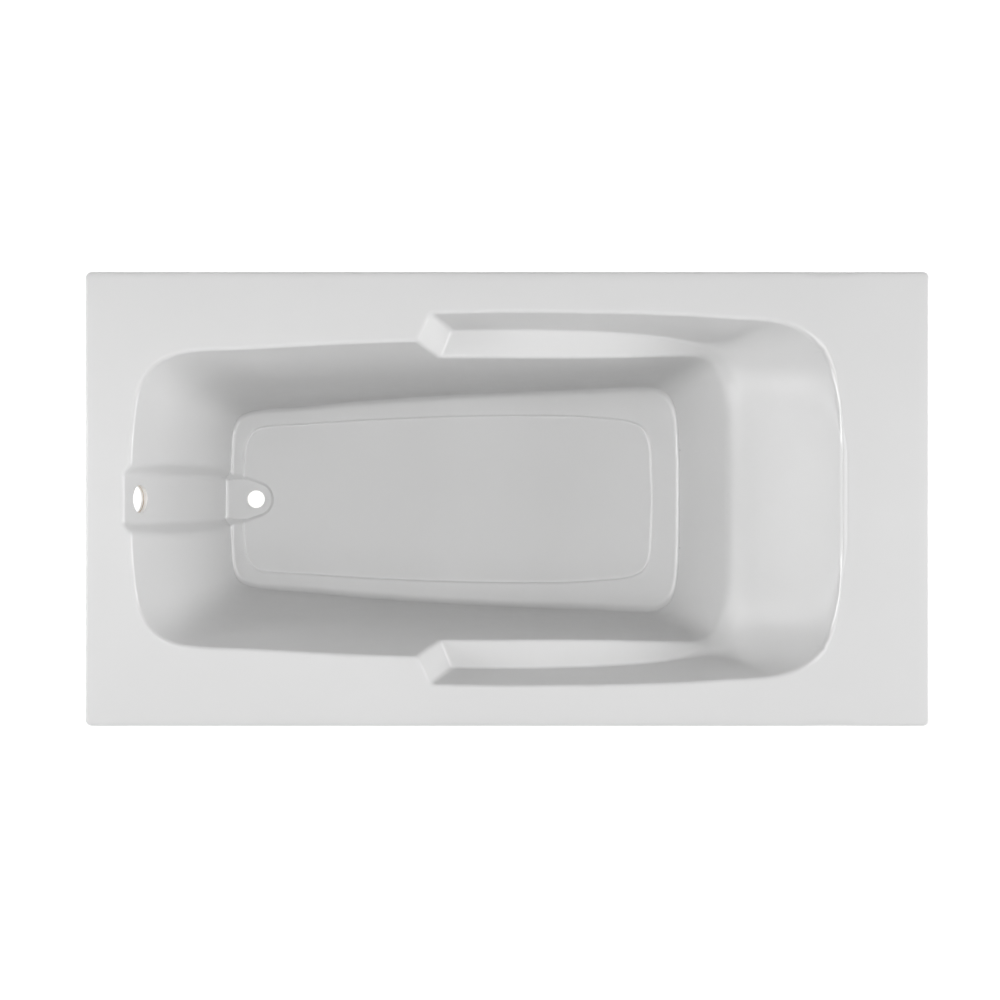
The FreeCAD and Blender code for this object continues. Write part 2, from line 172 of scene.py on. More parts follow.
RIM_C = smooth_half(BASIN_RIM)
FLOOR_C = smooth_half(BASIN_FLOOR)
DISH_C = smooth_half(DISH_RIM)
SIDE_C = smooth_half(DISH_RIM[:16] + [(483.0, 320.2), (509.0, 319.0), (531.0, 318.0), (551.0, 317.0), (568.0, 316.5),
                                      (600.0, 316.0), (700.0, 313.0), (800.0, 306.0), (835.0, 280.0), (845.0, 220.0),
                                      (846.0, 110.0), (846.0, 0.0)])
PANEL_C = smooth_half(PANEL)
_a = np.radians(np.linspace(62.0, 0.0, 24))
SUMP_C = np.vstack([[(-660.0, 0.0), (-660.0, STRIP_HALF), (-572.0, STRIP_HALF), (-566.0, STRIP_HALF - 0.4)],
                    np.column_stack([DRAIN_X + SUMP_R * np.cos(_a), SUMP_R * np.sin(_a)])])
scoop_at = spline_1d(SCOOP)
LEVELS = 14
WALL_C = [FLOOR_C + (RIM_C - FLOOR_C) * g for g in np.linspace(0.0, 1.0, LEVELS)]


class Basin:
    """The bath's upper surface over plan points x, y (mm), as depth below the rim."""

    def __init__(self, x, y, backing=False):
        self.x, self.y = x, np.abs(y)
        x, y = self.x, self.y
        dr = inside_distance(x, y, RIM_C)
        df = inside_distance(x, y, FLOOR_C)
        # outline of the wall at several depths, measured where the wall is near
        near = (dr > -70.0) & (df < 80.0)
        self.wall = np.array([df + (dr - df) * g for g in np.linspace(0.0, 1.0, LEVELS)])
        for k in range(1, LEVELS - 1):
            self.wall[k][near] = inside_distance(x[near], y[near], WALL_C[k])
        self.slope = np.gradient(self.wall, axis=0)
        self.du = inside_distance(x, y, SIDE_C)
        self.draft = np.interp(x, [150, 272, 370, 405, 466, 540], [0.158, 0.178, 0.212, 0.216, 0.19, 0.158])
        # front face of the armrest: plan lines at the rim and at the ledge
        n0 = np.array([53.0, -26.5]) / math.hypot(53.0, 26.5)
        n1 = np.array([37.0, -14.5]) / math.hypot(37.0, 14.5)
        self.f0 = (x + 138.5) * n0[0] + (y - 334.0) * n0[1]
        self.f1 = (x + 106.5) * n1[0] + (y - 315.0) * n1[1]
        panel = inside_distance(x, y, PANEL_C)
        sump = inside_distance(x, y, SUMP_C)
        zf = -H_FLOOR - (H_PANEL - H_FLOOR) * step(panel, 4.6)
        if backing:
            zf = np.full(x.shape, -(H_BACKING - T_AC - T_GF))
        self.zf = zf + (-H_SUMP - zf) * step(sump, 5.5)
        self.hs = scoop_at(x)
        rise = (scoop_at(x + 1.0) - scoop_at(x - 1.0)) / 2.0
        self.cs = 1.0 / np.sqrt(1.0 + rise * rise)
        self.k_floor = np.interp(x, [-620, -592, -565, -490, -150, 200, 300, 345, 368, 400],
                                 [7, 7, 12, 16, 17, 19, 19, 13, 9, 8])
        # the side walls run into the backrest in wider and wider hollows towards the head
        self.k_ledge = np.interp(x, [-200, 300, 350, 390, 420, 450, 483, 509, 531, 551, 568, 581, 590, 596.5, 601, 607],
                                 [5, 6, 9, 20, 45, 80, 103, 109, 119, 128, 138, 151, 168, 190, 219, 250])
        self.k_union = np.interp(x, [-200, 300, 360, 400, 430, 470], [6, 7, 9, 20, 33, 36])
        self.k_rim = np.interp(x, [-650, 480, 560, 600], [6.5, 6.5, 5, 4])

    def air(self, z):
        h = -z
        t = h / H_FLOOR
        g = np.where(t <= 0, 1.0 - 1.5 * t, np.clip(1.0 - t, 0, 1) ** 1.5)
        u = np.clip(g, 0.0, 1.0) * (LEVELS - 1)
        i = np.minimum(u.astype(int), LEVELS - 2)
        f = u - i
        p0, p1 = (np.take_along_axis(self.wall, (i + k)[None], 0)[0] for k in (0, 1))
        m0, m1 = (np.take_along_axis(self.slope, (i + k)[None], 0)[0] for k in (0, 1))
        wall = ((1 + 2 * f) * (1 - f) ** 2 * p0 + f * (1 - f) ** 2 * m0
                + f * f * (3 - 2 * f) * p1 + f * f * (f - 1) * m1)
        wall = wall + self.slope[-1] * (LEVELS - 1) * np.maximum(g - 1.0, 0.0)
        a_low = smin(wall * 0.985, z - self.zf, self.k_floor)
        side = (self.du - self.draft * h) * 0.9877
        s = np.clip(h / 95.0, -0.4, 1.9)
        front = (self.f0 * (1 - s) + self.f1 * s) * 0.94
        a_up = smin(smin(side, front, 7.0), (self.hs - h) * self.cs, self.k_ledge)
        off = self.x - (STRIP_X0 + STRIP_RISE * h)
        flank = 26.0 * np.clip((421.0 - h) / 14.0, 0.0, 1.0)
        strip = smin(off * 0.983, (STRIP_HALF + np.minimum(off, flank) - self.y) * 0.7071, 5.0)
        strip = smin(smin(strip, z + H_SUMP, 6.0), -566.0 - self.x, 4.0)
        a = smax(a_low, a_up, self.k_union)
        a = smax(a, strip, np.maximum(0.4, 6.0 * np.clip((418.0 - h) / 15.0, 0.0, 1.0)))
        return smax(a, z, self.k_rim)

    def solve(self, level=0.0):
        """Height of the surface that lies -level mm under the upper one."""
        lo = np.full(self.x.shape, -446.0)
        hi = np.full(self.x.shape, 4.0)
        for _ in range(38):
            mid = 0.5 * (lo + hi)
            up = self.air(mid) > level
            hi = np.where(up, mid, hi)
            lo = np.where(up, lo, mid)
        return 0.5 * (lo + hi)


# ------------------------------------------------------------------ spokes
def dense(lo, hi, base, zones):
    """Values from lo to hi at spacing base, finer in (start, end, spacing) zones."""
    cuts = sorted({lo, hi} | {c for z in zones for c in z[:2] if lo < c < hi})
    out = [lo]
    for a, b in zip(cuts[:-1], cuts[1:]):
        gap = min([base] + [z[2] for z in zones if z[0] <= 0.5 * (a + b) <= z[1]])
        n = max(1, int(round((b - a) / gap)))
        out += [a + (b - a) * k / n for k in range(1, n + 1)]
    return np.array(out)


def spokes():
    """Centre points and unit directions of the mesh's spokes, all round the bath."""
    xl, xr = -430.0, 250.0
    side_x = dense(xl, xr, 8.5, [(-182.0, -88.0, 2.2)])
    # fans, angle measured from the long axis at each end
    drain = dense(0.0, 90.0, 1.5, [(0.0, 8.0, 0.8), (8.0, 17.5, 0.5), (49.6, 52.4, 0.28), (38, 49.6, 1.0)])
    head = dense(0.0, 90.0, 1.35, [(37.6, 39.8, 0.22)])
    c, d = [], []
    for a in drain[:-1]:
        c.append((xl, 0.0))
        d.append((-math.cos(math.radians(a)), math.sin(math.radians(a))))
    for x in side_x:
        c.append((x, 0.0))
        d.append((0.0, 1.0))
    for a in head[::-1][1:]:
        c.append((xr, 0.0))
        d.append((math.cos(math.radians(a)), math.sin(math.radians(a))))
    c, d = np.array(c), np.array(d)
    # mirrored half, without the two spokes on the axis
    mc, md = c[1:-1][::-1].copy(), d[1:-1][::-1].copy()
    md[:, 1] *= -1
    return np.vstack([c, mc]), np.vstack([d, md])


def reach_box(c, d, inset):
    """Distance along each spoke to the rim's rounded rectangle, moved in by inset."""
    hx, hy, r = HALF_L - inset, HALF_W - inset, max(RIM_R - inset, 1.5)
    lo, hi = np.zeros(len(c)), np.full(len(c), 1500.0)
    for _ in range(50):
        m = 0.5 * (lo + hi)
        p = np.abs(c + d * m[:, None])
        q = p - np.array([hx - r, hy - r])
        s = np.hypot(np.maximum(q[:, 0], 0), np.maximum(q[:, 1], 0)) + np.minimum(np.maximum(q[:, 0], q[:, 1]), 0) - r
        lo = np.where(s < 0, m, lo)
        hi = np.where(s < 0, hi, m)
    return 0.5 * (lo + hi)


def reach(c, d, far, test):
    """Distance along each spoke to the last place where test(x, y) is positive."""
    f = np.linspace(0.02, 1.0, 240)
    r = far[:, None] * f[None, :]
    x = c[:, 0:1] + d[:, 0:1] * r
    y = np.abs(c[:, 1:2] + d[:, 1:2] * r)
    v = test(x, y)
    out = np.empty(len(c))
    for i in range(len(c)):
        k = np.nonzero(v[i] > 0)[0][-1]
        if k == len(f) - 1:
            out[i] = r[i, k]
        else:
            a, b = v[i, k], v[i, k + 1]
            out[i] = r[i, k] + (r[i, k + 1] - r[i, k]) * a / (a - b)
    return out


def outline(x, y):
    n0 = np.array([53.0, -26.5]) / math.hypot(53.0, 26.5)
    front = (x + 138.5) * n0[0] + (y - 334.0) * n0[1]
    dish = np.minimum(inside_distance(x, y, DISH_C), front)
    off = x - STRIP_X0
    strip = np.minimum(np.minimum(off, -566.0 - x), (STRIP_HALF + np.minimum(off, 26.0) - y) * 0.7071)
    return np.maximum(np.maximum(inside_distance(x, y, RIM_C), dish), strip)


C, D = spokes()
R_OUT = reach_box(C, D, ROLL)
R_RIM = reach(C, D, R_OUT, outline)
NU = len(C)


HALF = NU // 2 + 1                                    # spokes with y >= 0; the others mirror them


def spacing():
    """Places along every spoke, edge to middle, and how much of the surface's turning lies before them."""
    r = R_OUT[:HALF, None] * (1.0 - np.linspace(0.0, 1.0, 320))[None, :]
    z = Basin(C[:HALF, 0:1] + D[:HALF, 0:1] * r, C[:HALF, 1:2] + D[:HALF, 1:2] * r).solve(0.0)
    dr, dz = -np.diff(r, axis=1), np.diff(z, axis=1)
    ang = np.arctan2(dz, dr)
    turn = np.abs(np.diff(ang, axis=1, prepend=ang[:, :1]))
    turn = np.maximum(turn, np.roll(turn, -1, 1))
    w = np.hypot(dr, dz) / 12.0 + np.minimum(turn, 0.6) / math.radians(4.0) + dr / 30.0
    w[:, 0] = w[:, 1]
    for axis, reps in ((1, 2), (0, 2)):
        for _ in range(reps):
            q = np.concatenate([np.take(w, [1, 0], axis), w, np.take(w, [-1, -2], axis)], axis)
            n_ = w.shape[axis]
            w = sum(c * np.take(q, np.arange(k, k + n_), axis) for k, c in enumerate((0.1, 0.2, 0.4, 0.2, 0.1)))
    acc = np.concatenate([np.zeros((HALF, 1)), np.cumsum(w, 1)], 1)
    return r, acc / acc[:, -1:]


SPACE_R, SPACE_A = spacing()


def rows(n, start, out=0.0):
    """Distances along every spoke from start to the middle, closer together where the surface turns."""
    half = np.empty((HALF, n))
    for k in range(HALF):
        a0 = np.interp(-start[k], -SPACE_R[k], SPACE_A[k])
        r = np.interp(np.linspace(a0, 1.0, n), SPACE_A[k], SPACE_R[k])
        half[k] = r + out * np.clip(r / 150.0, 0, 1) * np.clip((start[k] - r) / 30.0, 0, 1)
    return np.vstack([half, half[1:-1][::-1]])


def plan(r):
    return C[:, 0:1] + D[:, 0:1] * r, C[:, 1:2] + D[:, 1:2] * r


def heights(r, levels, backing=False):
    """Heights (from the rim) on a spoke grid, for each level, -level mm under the upper surface."""
    h = r[:HALF]
    basin = Basin(C[:HALF, 0:1] + D[:HALF, 0:1] * h, C[:HALF, 1:2] + D[:HALF, 1:2] * h, backing)
    out = []
    for v in levels:
        z = basin.solve(v if np.isscalar(v) else v[:HALF])
        out.append(np.vstack([z, z[1:-1][::-1]]))
    return out


def surface(r, z):
    x, y = plan(r)
    return np.stack([x, y, z], -1)


def lumps(u, v, cell, seed):
    """Smooth seeded noise, -1 to 1, over two coordinates in mm."""
    g = np.random.default_rng(seed).uniform(-1.0, 1.0, (257, 257))
    a, b = u / cell, v / cell
    i, j = np.floor(a).astype(int), np.floor(b).astype(int)
    fa, fb = a - i, b - j
    fa, fb = fa * fa * (3 - 2 * fa), fb * fb * (3 - 2 * fb)
    i0, i1, j0, j1 = i % 256, (i + 1) % 256, j % 256, (j + 1) % 256
    return ((g[i0, j0] * (1 - fa) + g[i1, j0] * fa) * (1 - fb)
            + (g[i0, j1] * (1 - fa) + g[i1, j1] * fa) * fb)


def ring(inset, z):
    r = reach_box(C, D, inset)
    p = C + D * r[:, None]
    return np.column_stack([p, np.full(NU, z)])


def grid_mesh(name, rings, close_a, close_b):
    """Closed mesh from rings of NU points; close_a/b: merge the first/last ring on the axis."""
    v = np.concatenate(rings, 0) * MM
    v[:, 2] += Z_RIM * MM
    n = len(rings)
    i = np.arange(NU)
    j = (i + 1) % NU
    faces = np.concatenate([np.column_stack([k * NU + i, k * NU + j, (k + 1) * NU + j, (k + 1) * NU + i])
                            for k in range(n - 1)])
    me = bpy.data.meshes.new(name)
    me.from_pydata(v.tolist(), [], faces.tolist())
    bm = bmesh.new()
    bm.from_mesh(me)
    bm.verts.ensure_lookup_table()
    ends = ([bm.verts[q] for q in range(NU)] if close_a else []) + \
           ([bm.verts[(n - 1) * NU + q] for q in range(NU)] if close_b else [])
    bmesh.ops.remove_doubles(bm, verts=ends, dist=2e-5)
    bmesh.ops.recalc_face_normals(bm, faces=bm.faces)
    bm.to_mesh(me)
    bm.free()
    ob = bpy.data.objects.new(name, me)
    bpy.context.scene.collection.objects.link(ob)
    return ob


def lathe(name, prof, origin, axis, seg=96):
    """Closed turned solid from (radius, height) points in mm along an axis."""
    axis = Vector(axis).normalized()
    side = axis.orthogonal().normalized()
    other = axis.cross(side)
    o = Vector(origin)
    verts, faces = [], []
    n = len(prof)
    for r, h in prof:
        for k in range(seg):
            a = 2 * math.pi * k / seg
            p = o + axis * h + (side * math.cos(a) + other * math.sin(a)) * r
            verts.append([c * MM for c in p])
    for q in range(n - 1):
        for k in range(seg):
            m = (k + 1) % seg
            faces.append([q * seg + k, q * seg + m, (q + 1) * seg + m, (q + 1) * seg + k])
    faces.append(list(range(seg))[::-1])
    faces.append([(n - 1) * seg + k for k in range(seg)])
    me = bpy.data.meshes.new(name)
    me.from_pydata(verts, [], faces)
    bm = bmesh.new()
    bm.from_mesh(me)
    bmesh.ops.recalc_face_normals(bm, faces=bm.faces)
    bm.to_mesh(me)
    bm.free()
    ob = bpy.data.objects.new(name, me)
    bpy.context.scene.collection.objects.link(ob)
    return ob


def cut(ob, tools, solver="EXACT"):
    """Cut closed tools out of a closed mesh, and drop the tools."""
    for t in tools:
        m = ob.modifiers.new("hole", "BOOLEAN")
        m.operation = "DIFFERENCE"
        m.solver = solver
        m.object = t
    dg = bpy.context.evaluated_depsgraph_get()
    dg.update()
    me = bpy.data.meshes.new_from_object(ob.evaluated_get(dg))
    ob.modifiers.clear()
    old = ob.data
    ob.data = me
    bpy.data.meshes.remove(old)
    for t in tools:
        me = t.data
        bpy.data.objects.remove(t)
        bpy.data.meshes.remove(me)


def bends(ob):
    """Marks how glossy the tight bends of the moulding are, 0 to 1: hollows round the floor, ridges of the rim's ends."""
    me = ob.data
    co, no = np.empty(3 * len(me.vertices)), np.empty(3 * len(me.vertices))
    ends = np.empty(2 * len(me.edges), dtype=np.int32)
    me.vertices.foreach_get("co", co)
    me.vertex_normals.foreach_get("vector", no)
    me.edges.foreach_get("vertices", ends)
    co, no, (a, b) = co.reshape(-1, 3), no.reshape(-1, 3), ends.reshape(-1, 2).T
    dn, dp = no[a] - no[b], co[a] - co[b]
    turn = np.linalg.norm(dn, axis=1) / np.maximum(np.linalg.norm(dp, axis=1), 3e-4)
    turn = np.where((dn * dp).sum(1) > 0, turn, -turn)
    ridge, hollow = np.zeros(len(co)), np.zeros(len(co))
    for q in (a, b):
        np.maximum.at(ridge, q, turn)
        np.maximum.at(hollow, q, -turn)
    x = co[:, 0] / MM
    share = np.interp(x, [-720, -705, -600, -560, 520, 565, 620, 640], [0.06, 0.32, 0.32, 0.06, 0.06, 1.0, 1.0, 0.06])
    least = np.interp(x, [520, 565], [40.0, 14.0])
    r = np.clip((ridge - least) / np.interp(x, [520, 565], [50.0, 24.0]), 0.0, 1.0)
    h = np.clip((hollow - 40.0) / 50.0, 0.0, 1.0)
    low = np.interp(co[:, 2], [0.16, 0.26], [1.0, 0.1])
    gloss = np.maximum(share * r * r * (3.0 - 2.0 * r), low * h * h * (3.0 - 2.0 * h))
    me.attributes.new("bend", "FLOAT", "POINT").data.foreach_set("value", gloss)


def smooth(ob, angle=35.0):
    ob.data.shade_smooth()
    ob.data.set_sharp_from_angle(angle=math.radians(angle))


# ------------------------------------------------------------------ mesh helpers
def finish_mesh(name, verts, faces):
    """New object from points in mm, with normals turned outwards."""
    me = bpy.data.meshes.new(name)
    me.from_pydata([[c * MM for c in v] for v in verts], [], faces)
    bm = bmesh.new()
    bm.from_mesh(me)
    bmesh.ops.recalc_face_normals(bm, faces=bm.faces)
    bm.to_mesh(me)
    bm.free()
    ob = bpy.data.objects.new(name, me)
    bpy.context.scene.collection.objects.link(ob)
    return ob


def stack(loops):
    """Points and faces of a closed solid from loops of equal length, both ends capped."""
    n = len(loops[0])
    verts = [tuple(q) for lp in loops for q in lp]
    faces = []
    for k in range(len(loops) - 1):
        for i in range(n):
            j = (i + 1) % n
            faces.append([k * n + i, k * n + j, (k + 1) * n + j, (k + 1) * n + i])
    faces.append(list(range(n))[::-1])
    faces.append([(len(loops) - 1) * n + i for i in range(n)])
    return verts, faces


def join(parts):
    verts, faces = [], []
    for v, f in parts:
        o = len(verts)
        verts += list(v)
        faces += [[q + o for q in face] for face in f]
    return verts, faces


def turned(prof, x, y, seg=64):
    """Loops of a turned solid from (radius, z) points about a vertical axis."""
    return [[(x + r * math.cos(2 * math.pi * k / seg), y + r * math.sin(2 * math.pi * k / seg), z)
             for k in range(seg)] for r, z in prof]


def round_rect(x0, x1, y0, y1, r, seg=6):
    pts = []
    for cx, cy, a0 in ((x1 - r, y1 - r, 0), (x0 + r, y1 - r, 90), (x0 + r, y0 + r, 180), (x1 - r, y0 + r, 270)):
        for k in range(seg + 1):
            a = math.radians(a0 + 90.0 * k / seg)
            pts.append((cx + r * math.cos(a), cy + r * math.sin(a)))
    return pts


def slab(x0, x1, y0, y1, z0, z1, r, ease, seg=6):
    """Loops of a board with rounded upright corners and eased edges."""
    loops = []
    for inset, z in ((ease, z0), (ease * 0.3, z0 + ease * 0.3), (0.0, z0 + ease),
                     (0.0, z1 - ease), (ease * 0.3, z1 - ease * 0.3), (ease, z1)):
        loops.append([(px, py, z) for px, py in
                      round_rect(x0 + inset, x1 - inset, y0 + inset, y1 - inset, max(r - inset, 0.2), seg)])
    return loops


def dress(ob, mat, body, node, angle=35.0):
    """Finish a piece: shading, material, the body it rides on and the node it stands for."""
    smooth(ob, angle)
    ob.data.materials.clear()
    ob.data.materials.append(mat)
    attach(ob, body)
    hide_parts(node)


# ------------------------------------------------------------------ materials
class Mat:
    def __init__(self, name):
        self.m = bpy.data.materials.new(name)
        self.m.use_nodes = True
        self.nt = self.m.node_tree
        self.nt.nodes.clear()
        self.out = self.nt.nodes.new("ShaderNodeOutputMaterial")
        self.b = self.nt.nodes.new("ShaderNodeBsdfPrincipled")
        self.nt.links.new(self.b.outputs["BSDF"], self.out.inputs["Surface"])
        self.tc = self.nt.nodes.new("ShaderNodeTexCoord")

    def node(self, kind):
        return self.nt.nodes.new("ShaderNode" + kind)

    def link(self, a, b):
        self.nt.links.new(a, b)

    def obj(self, scale=(1, 1, 1), rot=(0, 0, 0), loc=(0, 0, 0)):
        m = self.node("Mapping")
        m.inputs["Location"].default_value = loc
        m.inputs["Rotation"].default_value = rot
        m.inputs["Scale"].default_value = scale
        self.link(self.tc.outputs["Object"], m.inputs["Vector"])
        return m.outputs["Vector"]

    def grain(self, scale, rot=(0, 0, 0), loc=(0, 0, 0)):
        """Turned first and stretched after, so that the stretch follows the turn."""
        m = self.node("Mapping")
        m.inputs["Scale"].default_value = scale
        self.link(self.obj((1, 1, 1), rot, loc), m.inputs["Vector"])
        return m.outputs["Vector"]

    def noise(self, vec, scale, detail=3.0, rough=0.5, dist=0.0):
        n = self.node("TexNoise")
        n.inputs["Scale"].default_value = scale
        n.inputs["Detail"].default_value = detail
        n.inputs["Roughness"].default_value = rough
        n.inputs["Distortion"].default_value = dist
        self.link(vec, n.inputs["Vector"])
        return n.outputs["Fac"]

    def cells(self, vec, scale, out="Color", feature="F1", rand=1.0):
        n = self.node("TexVoronoi")
        n.feature = feature
        n.inputs["Scale"].default_value = scale
        n.inputs["Randomness"].default_value = rand
        self.link(vec, n.inputs["Vector"])
        return n.outputs[out]

    def rings(self, vec, scale, direction, dist, dscale, kind="RINGS"):
        n = self.node("TexWave")
        n.wave_type = kind
        if kind == "RINGS":
            n.rings_direction = direction
        else:
            n.bands_direction = direction
        n.wave_profile = "SAW"
        n.inputs["Scale"].default_value = scale
        n.inputs["Distortion"].default_value = dist
        n.inputs["Detail"].default_value = 2.0
        n.inputs["Detail Scale"].default_value = dscale
        self.link(vec, n.inputs["Vector"])
        return n.outputs["Fac"]

    def math(self, op, a, b):
        n = self.node("Math")
        n.operation = op
        for q, v in zip(n.inputs, (a, b)):
            if isinstance(v, bpy.types.NodeSocket):
                self.link(v, q)
            else:
                q.default_value = v
        return n.outputs[0]

    def mix(self, fac, a, b, blend="MIX"):
        n = self.node("Mix")
        n.data_type = "RGBA"
        n.blend_type = blend
        for key, v in (("Factor_Float", fac), ("A_Color", a), ("B_Color", b)):
            q = next(i for i in n.inputs if i.identifier == key)
            if isinstance(v, bpy.types.NodeSocket):
                self.link(v, q)
            elif key == "Factor_Float":
                q.default_value = v
            else:
                q.default_value = (*v, 1.0)
        return next(o for o in n.outputs if o.identifier == "Result_Color")

    def ramp(self, fac, stops):
        r = self.node("ValToRGB")
        el = r.color_ramp.elements
        while len(el) < len(stops):
            el.new(0.5)
        for e, (q, c) in zip(el, stops):
            e.position = q
            e.color = (*c, 1.0)
        self.link(fac, r.inputs["Fac"])
        return r.outputs["Color"]

    def span(self, fac, lo, hi, a=0.0, b=1.0):
        m = self.node("MapRange")
        m.inputs["From Min"].default_value = a
        m.inputs["From Max"].default_value = b
        m.inputs["To Min"].default_value = lo
        m.inputs["To Max"].default_value = hi
        self.link(fac, m.inputs["Value"])
        return m.outputs["Result"]

    def bump(self, height, strength, distance, onto=None):
        b = self.node("Bump")
        b.inputs["Strength"].default_value = strength
        b.inputs["Distance"].default_value = distance
        self.link(height, b.inputs["Height"])
        if onto is not None:
            self.link(onto, b.inputs["Normal"])
        return b.outputs["Normal"]

    def put(self, socket, value):
        q = self.b.inputs[socket]
        if isinstance(value, bpy.types.NodeSocket):
            self.link(value, q)
        else:
            q.default_value = value


def acrylic():
    m = Mat("white_acrylic")
    v = m.obj()
    big = m.noise(v, 5.0, 2.0)
    m.put("Base Color", m.ramp(big, [(0.3, (0.634, 0.634, 0.634)), (0.7, (0.646, 0.646, 0.646))]))
    fine = m.noise(v, 38.0, 3.0)
    m.put("Roughness", m.span(fine, 0.32, 0.38, 0.3, 0.7))
    m.put("IOR", 1.49)
    m.put("Normal", m.bump(m.noise(v, 26.0, 2.0), 0.05, 0.0006))
    # the tight bends of the mould come out glossier than the open faces
    tight = m.node("Attribute")
    tight.attribute_name = "bend"
    m.put("Coat Weight", tight.outputs["Fac"])
    m.put("Coat Roughness", 0.12)
    m.put("Coat IOR", 1.7)
    return m.m


def edge_seal_painted_light():
    """Brushed white sealing coat on cut edges, paler than the acrylic: painted light that brightens the shaded walls of
    the holes.
    """
    m = Mat("edge_seal_painted_light")
    v = m.obj()
    n = m.noise(v, 240.0, 3.0)
    # paler than the acrylic's 0.64: painted light on the shaded hole walls, partly a real white seal over the cut edges
    m.put("Base Color", m.ramp(n, [(0.3, (0.86, 0.86, 0.85)), (0.7, (0.90, 0.90, 0.89))]))
    m.put("Roughness", m.span(n, 0.45, 0.60, 0.3, 0.7))
    m.put("Normal", m.bump(m.noise(v, 500.0, 2.0), 0.15, 0.0002))
    return m.m


def glass_fibre():
    """Rolled chopped strands in resin: streaks in several directions over a blotchy ground."""
    m = Mat("glass_fibre")
    v = m.obj()
    blotch = m.noise(v, 14.0, 4.0, 0.6)
    ground = m.ramp(blotch, [(0.25, (0.42, 0.40, 0.29)), (0.5, (0.55, 0.53, 0.42)), (0.78, (0.68, 0.66, 0.56))])
    mask = None
    for k, rot in enumerate(((0.1, 0.2, 0.4), (0.2, -0.5, 1.3), (0.7, 0.3, 2.3), (0.1, 1.2, 0.2), (0.4, -0.9, 1.9), (0.2, 0.8, 2.8))):
        n = m.noise(m.grain((26.0, 420.0, 420.0), rot, (3.1 * k, 1.7 * k, 0.9 * k)), 1.0, 1.0, 0.4, 0.15)
        st = m.span(n, 0.0, 1.0, 0.60, 0.69)
        mask = st if mask is None else m.math("MAXIMUM", mask, st)
    m.put("Base Color", m.mix(m.math("MULTIPLY", mask, 0.62), ground, (0.80, 0.79, 0.71)))
    m.put("Roughness", m.span(m.noise(v, 60.0, 3.0), 0.30, 0.62, 0.3, 0.7))
    m.put("IOR", 1.53)
    n1 = m.bump(m.noise(v, 95.0, 3.0, 0.6), 0.55, 0.0016)
    m.put("Normal", m.bump(mask, 0.45, 0.0007, n1))
    return m.m


def pine(name, along, loc):
    m = Mat(name)
    turn = (0, 0, 0) if along == "X" else (0, 0, math.pi / 2)
    v = m.obj((1, 1, 1), turn, loc)
    stretched = m.grain((1.6, 26.0, 26.0), turn, loc)
    wav = m.rings(m.grain((0.10, 1.0, 1.0), turn, loc), 62.0, "X", 7.0, 2.2)
    col = m.ramp(wav, [(0.0, (0.70, 0.50, 0.29)), (0.62, (0.66, 0.45, 0.24)), (0.9, (0.47, 0.27, 0.12)), (1.0, (0.66, 0.46, 0.26))])
    fib = m.noise(stretched, 26.0, 4.0, 0.65)
    col = m.mix(m.span(fib, 0.0, 0.55, 0.35, 0.75), col, (0.42, 0.26, 0.13), "MULTIPLY")
    blot = m.noise(v, 9.0, 2.0)
    col = m.mix(m.span(blot, 0.0, 0.30, 0.4, 0.7), col, (0.78, 0.62, 0.42))
    m.put("Base Color", col)
    m.put("Roughness", m.span(fib, 0.62, 0.86, 0.3, 0.7))
    saw = m.noise(m.grain((170.0, 3.0, 3.0), turn, loc), 4.0, 2.0)
    n1 = m.bump(saw, 0.30, 0.0005)
    m.put("Normal", m.bump(fib, 0.45, 0.0006, n1))
    return m.m


def chipboard():
    m = Mat("chipboard")
    v = m.obj((1.0, 1.0, 2.2))
    warp = m.noise(v, 55.0, 2.0)
    cell = m.cells(m.obj((1.0, 2.1, 3.0), (0, 0, 0.7)), 190.0)
    cell2 = m.cells(m.obj((2.3, 1.0, 3.0), (0, 0, 0.2)), 240.0)
    flake = m.node("SeparateColor")
    m.link(cell, flake.inputs[0])
    flake2 = m.node("SeparateColor")
    m.link(cell2, flake2.inputs[0])
    tone = m.math("MULTIPLY", m.math("ADD", flake.outputs[0], flake2.outputs[1]), 0.5)
    col = m.ramp(tone, [(0.12, (0.30, 0.19, 0.10)), (0.4, (0.52, 0.37, 0.21)), (0.65, (0.62, 0.47, 0.29)), (0.9, (0.74, 0.60, 0.41))])
    col = m.mix(m.span(warp, 0.0, 0.35, 0.35, 0.7), col, (0.45, 0.32, 0.19))
    m.put("Base Color", col)
    m.put("Roughness", m.span(tone, 0.7, 0.9))
    n1 = m.bump(tone, 0.35, 0.0005)
    m.put("Normal", m.bump(m.noise(v, 420.0, 2.0), 0.3, 0.0003, n1))
    return m.m


def plywood():
    m = Mat("plywood")
    v = m.obj((1.0, 1.0, 1.0), (0, math.atan(STRIP_RISE), 0))
    fib = m.noise(m.obj((9.0, 1.2, 60.0)), 22.0, 4.0, 0.6)
    band = m.rings(v, 100.0, "X", 0.04, 1.0, "BANDS")
    face = m.ramp(fib, [(0.3, (0.52, 0.35, 0.19)), (0.55, (0.64, 0.46, 0.27)), (0.75, (0.72, 0.55, 0.35))])
    m.put("Base Color", m.mix(m.span(band, 0.0, 0.45, 0.6, 0.75), face, (0.33, 0.20, 0.10)))
    m.put("Roughness", m.span(fib, 0.6, 0.82, 0.3, 0.7))
    m.put("Normal", m.bump(fib, 0.35, 0.0004))
    return m.m


def galvanised():
    m = Mat("galvanised")
    v = m.obj()
    sep = m.node("SeparateColor")
    m.link(m.cells(m.obj((1, 1, 1), (0.4, 0.3, 0.2)), 85.0), sep.inputs[0])
    spangle = m.math("MULTIPLY", m.math("ADD", sep.outputs[0], m.noise(v, 120.0, 3.0)), 0.5)
    m.put("Base Color", m.ramp(spangle, [(0.2, (0.40, 0.42, 0.44)), (0.5, (0.53, 0.55, 0.57)), (0.8, (0.66, 0.68, 0.70))]))
    m.put("Metallic", 0.9)
    m.put("Roughness", m.span(spangle, 0.30, 0.52, 0.2, 0.8))
    m.put("Normal", m.bump(m.noise(v, 210.0, 3.0), 0.12, 0.0003))
    return m.m


